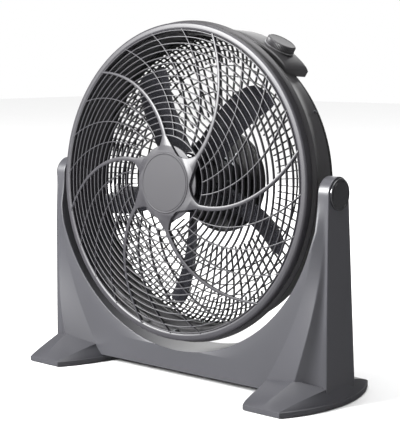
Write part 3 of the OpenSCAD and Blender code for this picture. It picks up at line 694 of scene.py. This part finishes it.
class BOXFAN_OT_front_grille(bpy.types.Operator):
    """Add the front grille: rings, thick curved arms that spread into a star, thin ribs and a rim"""
    bl_idname = "boxfan.front_grille"
    bl_label = "Front grille"

    def spokes(self, s, starts, first, width, proud, rows, corner):
        """Curved bars on the dome. Along a bar the radius grows evenly and the angle turns with it;
        across it, each point lies half a width less its corner's inset to one side. A width that
        grows to a whole sector near the hub makes the bars meet in a star."""
        t = np.linspace(0, 1, rows)
        r = first + (s.opening - 1.5 - first) * t
        turned = np.maximum(r - s.hub_r + 4, 0) / (s.opening - s.hub_r + 4) * s.sweep
        slant = np.hypot(1, r * s.sweep / (s.opening - s.hub_r + 4))
        half = 0.5 * width(t, r) * np.where(r > s.hub_r + 12, slant, 1)
        sharp = smooth((r - 62) / 6)[:, None]
        # Side, inset from it, and depth behind the front, round the bar's section
        side, inset, depth = np.array([
            (-1, 0, corner), (-1, 0.3 * corner, 0.3 * corner), (-1, corner, 0), (1, corner, 0),
            (1, 0.3 * corner, 0.3 * corner), (1, 0, corner), (1, 0, s.rib_depth + proud),
            (-1, 0, s.rib_depth + proud)]).T
        across = side * np.maximum(half[:, None] - inset * sharp, 0.02)
        deep = np.where(depth > corner, depth, depth * sharp)
        turn = np.asarray(starts)[:, None, None] + turned[:, None] + across / r[:, None]
        y = np.broadcast_to(dome_y(s, r)[:, None] - proud + deep, turn.shape)
        points = np.stack([r[:, None] * np.cos(turn), y, r[:, None] * np.sin(turn)], axis=-1)
        return surface(capped(points))

    def execute(self, context):
        s = head_sizes()
        sector = np.pi / s.arms

        def arm_width(t, r):
            star = (1 - np.sqrt(np.clip((r - s.badge - 2) / 38, 0, 1))) ** 1.2 * sector
            plain = 4 + 5 * (1 - np.clip((r - s.hub_r) / (s.opening - s.hub_r), 0, 1))
            return np.maximum(plain, 2 * r * np.tan(star * 0.999) * (star > 0))

        def rib_width(t, r):
            return s.rib_width + 0 * t

        starts = np.pi / 2 + np.arange(s.arms) * 2 * sector
        between = (np.arange(s.arms)[:, None] + np.arange(1, s.thin_ribs + 1) / (s.thin_ribs + 1))
        thin_starts = np.pi / 2 + between.ravel() * 2 * sector
        shapes = [self.spokes(s, starts, 50, arm_width, 0.7, 72, 1.3),
                  self.spokes(s, thin_starts, s.first_ring, rib_width, 0, 40, 0.8)]
        for r in s.first_ring + s.ring_pitch * np.arange(s.rings):
            w, y = s.rib_width / 2, dome_y(s, r)
            corners = [(r - w, y), (r + w, y), (r + w, y + s.rib_depth), (r - w, y + s.rib_depth)]
            shapes.append(lathe(soften(corners, [0.9, 0.9, 0.2, 0.2], 2), 216))
        back, far = s.lip_y - 0.1, s.rim_r
        rim = [(s.opening - 3, s.rim_y + 1), (s.opening, s.rim_y), (far - 3, s.rim_y + 0.6),
               (far, s.rim_y + 3), (far - 1, back), (far - 4, back), (far - 3.5, s.rim_y + 4),
               (s.opening + 1, s.rim_y + 4), (s.opening + 1, back), (s.opening - 3, back)]
        shapes.append(lathe(soften(rim, [0.5, 1, 1.5, 1.5, 0.5, 0.2, 0.5, 0.5, 0.1, 0.1]), 256))
        back = dome_y(s, 0) + 5
        disc = [(0, back), (s.hub_r, back + 1), (s.hub_r, back + 3.5), (0, back + 3)]
        shapes.append(lathe(soften(disc, [0, 1, 0.4, 0])))
        add_piece("front_grille_moulding", shapes, "head", grille_polypropylene(),
                  ["front_grille"], place=on_head)
        return {"FINISHED"}


class BOXFAN_OT_badge(bpy.types.Operator):
    """Add the blank badge: a shallow dome with one fine groove near its edge"""
    bl_idname = "boxfan.badge"
    bl_label = "Badge"

    def execute(self, context):
        s = head_sizes()
        front = dome_y(s, 0) - 1.2
        groove = s.badge - 4
        # The face falls off with the square of the radius; a narrow groove is cut into it
        r = np.concatenate([np.linspace(0, groove - 0.8, 20),
                            [groove - 0.4, groove, groove + 0.4, groove + 0.9, s.badge - 1.6,
                             s.badge - 0.5, s.badge]])
        y = front + 0.9 * (r / s.badge) ** 2
        y[-7:-4] += (0.3, 0.6, 0.3)
        y[-2:] += (0.5, 1.3)
        face = np.stack([r, y], axis=-1)
        profile = np.concatenate([face, [(s.badge, front + 3.2), (0, front + 3.2)]])
        add_piece("badge_moulding", [lathe(profile)], "head", badge_plastic(),
                  ["hub_badge"], place=on_head)
        return {"FINISHED"}


class BOXFAN_OT_rear_grille(bpy.types.Operator):
    """Add the rear grille: a bowl of fins and rings round the plate that carries the motor"""
    bl_idname = "boxfan.rear_grille"
    bl_label = "Rear grille"

    def bowl(self, s, t):
        """The bowl's outline from its rim (t = 0) to the plate (t = 1): a flattened superellipse."""
        turn = t * np.pi / 2
        rim_r, rim_y = s.rear_r - 1.5, s.end_y + 1.5
        r = s.plate_r + (rim_r - s.plate_r) * np.cos(turn) ** (2 / 4.5)
        y = rim_y + (s.plate_y + 4 - rim_y) * np.sin(turn) ** (2 / 1.9)
        return r, y

    def fins(self, s, number, offset, last):
        """Fins along the bowl: each keeps its thickness while the bowl's outline carries it."""
        t = np.linspace(0, last, 14)
        r, y = self.bowl(s, t)
        along = np.stack([np.gradient(r), np.gradient(y)], axis=-1)
        along /= np.linalg.norm(along, axis=-1, keepdims=True)
        inward = np.stack([-along[:, 1], along[:, 0]], axis=-1)
        across, deep = np.array([(-0.9, 0.7), (0, 0), (0.9, 0.7), (0.9, 5), (-0.9, 5)]).T
        radius = r[:, None] + inward[:, :1] * deep
        depth = y[:, None] + inward[:, 1:] * deep
        turn = (np.arange(number) + offset)[:, None, None] * 2 * np.pi / number
        x = radius * np.sin(turn) + across * np.cos(turn)
        z = radius * np.cos(turn) - across * np.sin(turn)
        return surface(capped(np.stack([x, np.broadcast_to(depth, x.shape), z], axis=-1)))

    def execute(self, context):
        s = head_sizes()
        half = s.fins // 2
        shapes = [self.fins(s, half, 0, 0.985), self.fins(s, half, 0.5, 0.66)]
        for t in np.linspace(0.2, 0.9, 8):
            r, y = self.bowl(s, t)
            corners = [(r - 1, y - 5.5), (r + 1, y - 5.5), (r + 1, y - 1.4), (r - 1, y - 1.4)]
            shapes.append(lathe(soften(corners, 0.4, 1), 192))
        flange = s.rear_r - s.wall - 0.2
        rim = [(flange - 2.5, s.end_y - 12), (flange, s.end_y - 12), (flange, s.end_y + 0.1),
               (s.rear_r, s.end_y + 0.1), (s.rear_r, s.end_y + 3), (flange - 2.5, s.end_y + 3)]
        shapes.append(lathe(soften(rim, [0.3, 0.3, 0.1, 0.6, 0.8, 0.4]), 256))
        back = s.plate_y + 4
        plate = [(0, s.plate_y), (s.plate_r, s.plate_y), (s.plate_r + 2, s.plate_y - 6),
                 (s.plate_r + 4, s.plate_y - 6), (s.plate_r + 4, back), (0, back)]
        shapes.append(lathe(soften(plate, [0, 1, 0.5, 0.5, 2, 0])))
        add_piece("rear_grille_moulding", shapes, "head", rear_polypropylene(),
                  ["rear_grille"], place=on_head)
        return {"FINISHED"}


class BOXFAN_OT_motor_cover(bpy.types.Operator):
    """Add the cover over the back of the motor, with a stepped and rounded edge"""
    bl_idname = "boxfan.motor_cover"
    bl_label = "Motor cover"

    def execute(self, context):
        s = head_sizes()
        y, deep = s.plate_y + 4.1, 24.9
        corners = [(0, y + deep), (s.cover - 20, y + deep), (s.cover - 18, y + deep - 1.2),
                   (s.cover - 5, y + deep - 2), (s.cover - 1.5, y + 3), (s.cover, y + 3),
                   (s.cover, y), (0, y)]
        profile = soften(corners, [0, 0.8, 0.8, 6, 0.5, 0.8, 0.3, 0])
        add_piece("motor_cover_moulding", [lathe(profile)], "head", rear_polypropylene(),
                  ["motor_cover"], place=on_head)
        return {"FINISHED"}


class BOXFAN_OT_impeller(bpy.types.Operator):
    """Add the impeller: a hub cup with twisted, cambered blades that thin towards their edges"""
    bl_idname = "boxfan.impeller"
    bl_label = "Impeller"

    def blades(self, s):
        """Blade sections stacked from hub to tip. At each radius the chord lies at the blade angle,
        its camber is a parabola, its thickness falls off towards both edges as a root, and the whole
        section is turned round the axis with the square of the way out. The corners of the tip are
        rounded by drawing the chord in over the last fifth."""
        t = np.linspace(0, 1, 30)[:, None]
        c = np.linspace(-0.5, 0.5, 19)
        c = np.concatenate([c, c[::-1]])
        side = np.where(np.arange(c.size) < c.size // 2, 1, -1)
        r = s.cup - 1 + (s.tip - s.cup + 1) * t
        pitch = s.root_pitch + (s.tip_pitch - s.root_pitch) * t
        drawn_in = 1 - 0.3 * np.clip((t - 0.8) / 0.2, 0, 1) ** 3
        chord = (s.root_chord + (s.tip_chord - s.root_chord) * np.sqrt(t)) * drawn_in
        bow = 1 - 4 * c * c
        along = c * chord
        lift = 0.07 * chord * bow + side * 1.1 * (0.25 + 0.75 * np.sqrt(bow))
        turn = (along * np.cos(pitch) - lift * np.sin(pitch)) / r + math.radians(10) * t * t
        y = 7 + along * np.sin(pitch) + lift * np.cos(pitch)
        starts = math.radians(34) + np.arange(s.blades) * 2 * np.pi / s.blades
        turn = starts[:, None, None] + turn
        points = np.stack([r * np.sin(turn), np.broadcast_to(y, turn.shape), r * np.cos(turn)], -1)
        return surface(capped(points))

    def execute(self, context):
        s = sizes("boxfan_impeller")
        front, deep = -22.0, 52.0
        corners = [(4.05, front), (s.cup, front), (s.cup, front + deep), (s.cup - 3, front + deep),
                   (s.cup - 3, front + 4), (11, front + 4), (11, front + deep - 8),
                   (4.05, front + deep - 8)]
        cup = lathe(soften(corners, [0.2, 6, 0.6, 0.6, 3, 1, 0.6, 0.2]), 128)
        add_piece("impeller_moulding", [cup, self.blades(s)], "impeller", impeller_plastic(),
                  ["impeller"], place=on_head, sharp=50)
        return {"FINISHED"}


class BOXFAN_OT_controls(bpy.types.Operator):
    """Add the control housing on the drum's shoulder and the knurled speed knob"""
    bl_idname = "boxfan.controls"
    bl_label = "Controls"

    def housing(self, s):
        """A raised strip along the drum. Its section is a rounded box on the wall; towards both ends
        its height and width shrink as a superellipse, so that it blends into the wall."""
        way = np.linspace(-1, 1, 49)
        full = (1 - np.abs(way) ** 5) ** (1 / 5)
        full[[0, -1]] = 0.02
        turn = math.radians(8) + (way + 1) / 2 * math.radians(43 - 8)
        front, back = s.neck_y, s.end_y + 38
        middle, half = (front + back) / 2, (back - front) / 2
        wall_r = s.opening - s.taper * (middle - s.wall_y) / s.depth
        floor = s.rear_r - 2 + 0 * way
        top = wall_r + 1 + (s.housing_r - wall_r - 1) * full
        narrow = half * (0.86 + 0.14 * full)
        corners = np.stack([np.stack([floor, middle - narrow], -1), np.stack([top, middle - narrow], -1),
                            np.stack([top, middle + narrow], -1), np.stack([floor, middle + narrow], -1)],
                           axis=1)
        outline = soften(corners, [0.5, 6, 9, 0.5], 5)
        r, y = outline[..., 0], outline[..., 1]
        return surface(capped(np.stack([r * np.sin(turn)[:, None], y, r * np.cos(turn)[:, None]], -1)))

    def knob(self, s):
        """A turned profile whose flank is knurled: its radius waves round the axis."""
        base = s.housing_r + 1.6
        corners = [(0, base), (s.knob, base), (s.knob, base + s.knob_height - 2),
                   (s.knob - 3, base + s.knob_height), (s.knob - 5, base + s.knob_height - 0.8),
                   (0, base + s.knob_height - 0.8)]
        r, z = soften(corners, [0, 0.8, 1.2, 1.2, 0.8, 0], 4).T
        turn = np.linspace(0, 2 * np.pi, 360, endpoint=False)[:, None]
        flank = smooth((r - s.knob + 2) / 1.5)
        r = r - flank * 0.35 * (1 + np.cos(60 * turn))
        points = np.stack([r * np.cos(turn), r * np.sin(turn), z + 0 * turn], axis=-1)
        return surface(points, wrap_rows=True)

    def execute(self, context):
        s = head_sizes()
        add_piece("control_housing_moulding", [self.housing(s)], "head", head_abs(),
                  ["control_housing"], place=on_head)
        add_piece("speed_knob_moulding", [self.knob(s)], "knob", head_abs(),
                  ["speed_knob"], place=on_knob)
        return {"FINISHED"}


class BOXFAN_OT_frame_finishes(bpy.types.Operator):
    """Give every frame part that keeps its own shape the finish of the real piece"""
    bl_idname = "boxfan.frame_finishes"
    bl_label = "Frame finishes"

    def execute(self, context):
        finishes = {
            stand_abs: ["stand_rear_cover"],
            foot_rubber: ["foot_pads", "cord_grommet"],
            zinc_steel: ["foot_screws", "cover_screws", "grille_screws", "rear_grille_screws",
                         "motor_screws", "motor_mount_screws", "motor_cover_screws",
                         "housing_screws", "pivot_bolts", "pivot_nuts", "impeller_nut"],
            white_nylon: ["left_pivot_bush", "right_pivot_bush", "rotary_switch", "run_capacitor"],
            fibre_board: ["friction_discs"],
            cast_aluminium: ["motor_front_bell", "motor_rear_bell"],
            laminated_steel: ["stator_core", "rotor_core"],
            enamelled_copper: ["stator_windings"],
            sintered_bronze: ["front_bearing", "rear_bearing"],
            printed_ring: ["dial_ring"],
            ground_steel: ["motor_shaft", "switch_spindle"],
        }
        for make, nodes in finishes.items():
            finish = make()
            for node in nodes:
                for held in frame["nodes"][node].material_slots:
                    held.material = finish
        return {"FINISHED"}


class BOXFAN_OT_stage(bpy.types.Operator):
    """Set the fan on a pale floor under soft light and aim the camera at it"""
    bl_idname = "boxfan.stage"
    bl_label = "Stage"

    def light(self, name, place, size, power):
        """A square area light of the given size, aimed at the fan's middle."""
        data = bpy.data.lights.new(name, "AREA")
        data.size, data.energy = size, power
        lamp = bpy.data.objects.new(name, data)
        lamp.location = place
        aim = Vector((0, 0, 0.35)) - lamp.location
        lamp.rotation_euler = aim.to_track_quat("-Z", "Y").to_euler()
        lamp.visible_camera = False
        bpy.context.scene.collection.objects.link(lamp)

    def execute(self, context):
        scene = context.scene
        mesh = bpy.data.meshes.new("floor")
        reach = 12
        mesh.from_pydata([(-reach, -reach, 0), (reach, -reach, 0), (reach, reach, 0),
                          (-reach, reach, 0)], [], [(0, 1, 2, 3)])
        material, tree, shader, place = start_material("pale_matt_floor", linear("#F4F4F4"), 0.8)
        tint(tree, shader, place, linear("#F4F4F4"), 0.01, 300)
        mesh.materials.append(material)
        floor = bpy.data.objects.new("floor", mesh)
        scene.collection.objects.link(floor)
        floor.visible_glossy = False       # so that the floor's glare doesn't wash out dark sides

        world = bpy.data.worlds.new("studio")
        world.use_nodes = True
        tree = world.node_tree
        background = tree.nodes["Background"]
        background.inputs["Color"].default_value = (1, 1, 1, 1)
        # The studio's walls look white, and light the fan only softly
        rays = add_node(tree, "ShaderNodeLightPath")
        level = add_node(tree, "ShaderNodeMapRange", [(rays.outputs["Is Camera Ray"], "Value")],
                         To_Min=0.12, To_Max=1.0)
        tree.links.new(level.outputs["Result"], background.inputs["Strength"])
        scene.world = world
        scene.view_settings.view_transform = "Standard"
        # A broad light high on the left shapes the front; a soft one behind lifts the far edges
        self.light("key_light", (-2.4, -4.3, 2.6), 1.6, 900)
        self.light("back_light", (-1.6, 2.6, 1.4), 2.6, 45)
        # An even light from above keeps the whole floor pale
        sun = bpy.data.lights.new("overhead_light", "SUN")
        sun.energy, sun.angle = 2.9, math.radians(50)
        scene.collection.objects.link(bpy.data.objects.new("overhead_light", sun))

        azimuth, elevation, distance = math.radians(40.05), math.radians(7.59), 2.23
        aim = Vector((0.0101, 0.0098, 0.2876))
        away = Vector((math.sin(azimuth) * math.cos(elevation),
                       -math.cos(azimuth) * math.cos(elevation), math.sin(elevation)))
        lens = bpy.data.cameras.new("camera")
        lens.lens, lens.sensor_width = 99.53, 36
        camera = bpy.data.objects.new("camera", lens)
        camera.location = aim + away * distance
        camera.rotation_euler = (-away).to_track_quat("-Z", "Y").to_euler()
        scene.collection.objects.link(camera)
        scene.camera = camera
        return {"FINISHED"}


# ---- Add-on ---------------------------------------------------------------------------------

STEPS = (BOXFAN_OT_stage, BOXFAN_OT_stand, BOXFAN_OT_feet, BOXFAN_OT_pivot_caps, BOXFAN_OT_drum,
         BOXFAN_OT_front_grille, BOXFAN_OT_badge, BOXFAN_OT_rear_grille, BOXFAN_OT_motor_cover,
         BOXFAN_OT_impeller, BOXFAN_OT_controls, BOXFAN_OT_frame_finishes)


class BOXFAN_PT_panel(bpy.types.Panel):
    """Sizes, colours and building steps of the box fan"""
    bl_idname = "BOXFAN_PT_panel"
    bl_label = "Box fan"
    bl_space_type = "VIEW_3D"
    bl_region_type = "UI"
    bl_category = "Box fan"

    def draw(self, context):
        for group in (*SIZE_GROUPS, "boxfan_colours"):
            values = getattr(context.scene, group)
            box = self.layout.box()
            for name in type(values).__annotations__:
                box.prop(values, name)
        for step in STEPS:
            self.layout.operator(step.bl_idname)


CLASSES = (*SIZE_GROUPS.values(), BOXFAN_colours, *STEPS, BOXFAN_PT_panel)


def register():
    """Register the classes and hang the sizes and colours on the scene."""
    for item in CLASSES:
        bpy.utils.register_class(item)
    for name, group in (*SIZE_GROUPS.items(), ("boxfan_colours", BOXFAN_colours)):
        setattr(bpy.types.Scene, name, bpy.props.PointerProperty(type=group))


def unregister():
    """Take the sizes and colours off the scene and unregister the classes."""
    for name in (*SIZE_GROUPS, "boxfan_colours"):
        delattr(bpy.types.Scene, name)
    for item in reversed(CLASSES):
        bpy.utils.unregister_class(item)


def main():
    """Build the whole fan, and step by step."""
    register()
    for step in STEPS:
        family, name = step.bl_idname.split(".")
        getattr(getattr(bpy.ops, family), name)()


if __name__ == "__main__":
    main()
